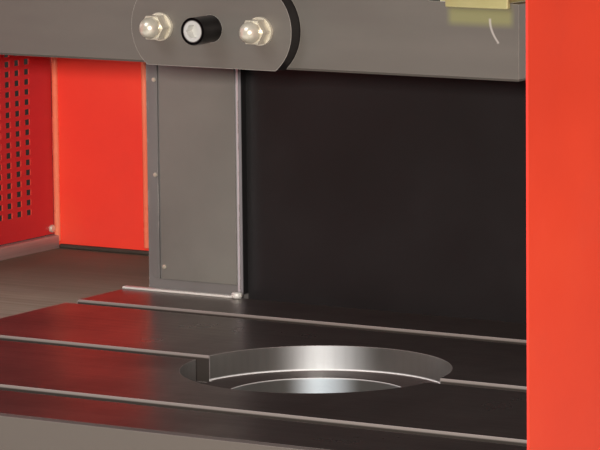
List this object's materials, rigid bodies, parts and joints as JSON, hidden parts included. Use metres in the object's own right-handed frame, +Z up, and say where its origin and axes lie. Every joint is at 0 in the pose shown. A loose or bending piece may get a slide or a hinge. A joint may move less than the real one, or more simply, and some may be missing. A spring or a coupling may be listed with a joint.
{
  "type": "gap frame punch press",
  "caption": "C-frame power punch press with a guided ram and shank clamp over a T-slotted bolster with a stepped drop hole, red side guards and a rear flywheel.",
  "frame": {"origin": "on the floor, straight below the ram's axis and the drop hole", "axes": "+Z up along the ram's axis, +Y to the rear along the crankshaft, +X to the right"},
  "size_m": [1.363, 1.828, 2.5439],
  "materials": {
    "frame_paint": "warm grey machine enamel, satin",
    "guard_paint": "orange-red gloss enamel",
    "ground_steel": "ground and oiled steel",
    "bright_steel": "bright turned steel",
    "zinc_bright": "bright zinc plate",
    "zinc_yellow": "yellow passivated zinc",
    "black_oxide": "black oxide, oiled",
    "black_paint": "black satin enamel",
    "table_steel": "mill finish steel, brown with old oil",
    "cast_grey": "machined and cast iron",
    "bearing_bronze": "bearing bronze",
    "belt_rubber": "moulded rubber",
    "button_green": "green moulded plastic",
    "button_red": "red moulded plastic",
    "black_plastic": "black moulded plastic",
    "white_plastic": "pale moulded plastic",
    "cabinet_paint": "light grey powder coat"
  },
  "bodies": {
    "press_frame": {"side_frame_left": "frame_paint", "side_frame_right": "frame_paint", "bed": "frame_paint", "bolster": "ground_steel", "frame_bolts": "black_oxide", "crown_front_plate": "frame_paint", "crank_wall": "frame_paint", "rear_wall": "frame_paint", "crown_top_cover": "frame_paint", "lifting_eyes": "black_oxide", "throat_back_plate": "black_paint", "gib_left": "ground_steel", "gib_right": "ground_steel", "gib_bolts": "black_oxide", "crank_bushes": "bearing_bronze", "flywheel_quill": "frame_paint", "flywheel_bearings": "bright_steel", "balance_cylinders": "frame_paint", "wing_table_left": "table_steel", "wing_table_right": "table_steel", "rear_guard_left": "guard_paint", "rear_guard_right": "guard_paint", "guard_hinge_leaves": "bright_steel", "angle_dial": "bright_steel", "motor_shelf": "frame_paint", "motor": "frame_paint", "drive_belts": "belt_rubber", "belt_guard": "guard_paint", "electric_cabinet": "cabinet_paint", "air_tank": "frame_paint", "lubricator": "white_plastic", "console": "frame_paint"},
    "crank": {"crankshaft": "bright_steel", "angle_pointer": "button_red", "clutch_brake": "black_paint"},
    "rod": {"connecting_rod": "cast_grey", "rod_cap": "cast_grey", "rod_bolts": "black_oxide"},
    "height_screw": {"adjusting_screw": "bright_steel"},
    "slide": {"ram": "ground_steel", "ball_pad": "bearing_bronze", "shank_clamp": "ground_steel", "clamp_studs": "zinc_bright", "jack_screw": "black_oxide", "rod_clamps": "zinc_yellow", "balance_rods": "bright_steel"},
    "knockout": {"knockout_bar": "bright_steel"},
    "flywheel": {"flywheel": "cast_grey"},
    "rotor": {"motor_rotor": "bright_steel", "motor_pulley": "cast_grey"},
    "guard_left": {"side_guard_left": "guard_paint"},
    "guard_right": {"side_guard_right": "guard_paint"},
    "palm_left": {"palm_button_left": "button_green"},
    "palm_right": {"palm_button_right": "button_green"},
    "stop_button": {"emergency_stop": "button_red"},
    "selector": {"selector_knob": "black_plastic"},
    "cabinet_door": {"cabinet_door": "cabinet_paint"},
    "door_handle": {"door_handle": "black_plastic"},
    "main_switch": {"main_switch": "button_red"}
  },
  "joints": [
    {"name": "crank_turn", "type": "hinge", "parent": "press_frame", "child": "crank", "pos_m": [0, 0, 1.82], "axis": [0, 1, 0], "range_deg": [0, 180]},
    {"name": "rod_swing", "type": "hinge", "parent": "crank", "child": "rod", "pos_m": [0, 0, 1.87], "axis": [0, 1, 0], "range_deg": [-180, 0]},
    {"name": "height_screw_turn", "type": "hinge", "parent": "rod", "child": "height_screw", "pos_m": [0, 0, 1.41], "axis": [0, 0, 1], "range_deg": [0, 360]},
    {"name": "ram_stroke", "type": "slide", "parent": "press_frame", "child": "slide", "axis": [0, 0, -1], "range_m": [0, 0.1]},
    {"name": "knockout_lift", "type": "slide", "parent": "slide", "child": "knockout", "axis": [0, 0, 1], "range_m": [0, 0.04]},
    {"name": "flywheel_spin", "type": "hinge", "parent": "press_frame", "child": "flywheel", "pos_m": [0, 0.855, 1.82], "axis": [0, 1, 0], "continuous": true},
    {"name": "motor_spin", "type": "hinge", "parent": "press_frame", "child": "rotor", "pos_m": [0, 0.855, 1.125], "axis": [0, 1, 0], "continuous": true},
    {"name": "guard_left_swing", "type": "hinge", "parent": "press_frame", "child": "guard_left", "pos_m": [-0.648, 0.511, 1.275], "axis": [0, 0, -1], "range_deg": [0, 110]},
    {"name": "guard_right_swing", "type": "hinge", "parent": "press_frame", "child": "guard_right", "pos_m": [0.648, 0.511, 1.275], "axis": [0, 0, 1], "range_deg": [0, 110]},
    {"name": "palm_left_press", "type": "slide", "parent": "press_frame", "child": "palm_left", "axis": [0, 0, -1], "range_m": [0, 0.006], "stiffness_N_per_m": 800, "springref_m": -0.005},
    {"name": "palm_right_press", "type": "slide", "parent": "press_frame", "child": "palm_right", "axis": [0, 0, -1], "range_m": [0, 0.006], "stiffness_N_per_m": 800, "springref_m": -0.005},
    {"name": "stop_press", "type": "slide", "parent": "press_frame", "child": "stop_button", "axis": [0, 1, 0], "range_m": [0, 0.006], "stiffness_N_per_m": 800, "springref_m": -0.005},
    {"name": "selector_turn", "type": "hinge", "parent": "press_frame", "child": "selector", "pos_m": [-0.07, -0.41, 0.665], "axis": [0, -1, 0], "range_deg": [-45, 45]},
    {"name": "cabinet_door_swing", "type": "hinge", "parent": "press_frame", "child": "cabinet_door", "pos_m": [-0.661, 0.966, 1.235], "axis": [0, 0, -1], "range_deg": [0, 110]},
    {"name": "door_handle_turn", "type": "hinge", "parent": "cabinet_door", "child": "door_handle", "pos_m": [-0.655, 0.6, 1.235], "axis": [-1, 0, 0], "range_deg": [0, 90]},
    {"name": "main_switch_turn", "type": "hinge", "parent": "cabinet_door", "child": "main_switch", "pos_m": [-0.655, 0.76, 1.44], "axis": [-1, 0, 0], "range_deg": [0, 90]}
  ],
  "couplings": [
    {"joint": "rod_swing", "follows": "crank_turn", "ratio": -1},
    {"joint": "ram_stroke", "follows": "crank_turn", "m_per_rad": 0.031831},
    {"joint": "motor_spin", "follows": "flywheel_spin", "ratio": 4.4444}
  ]
}
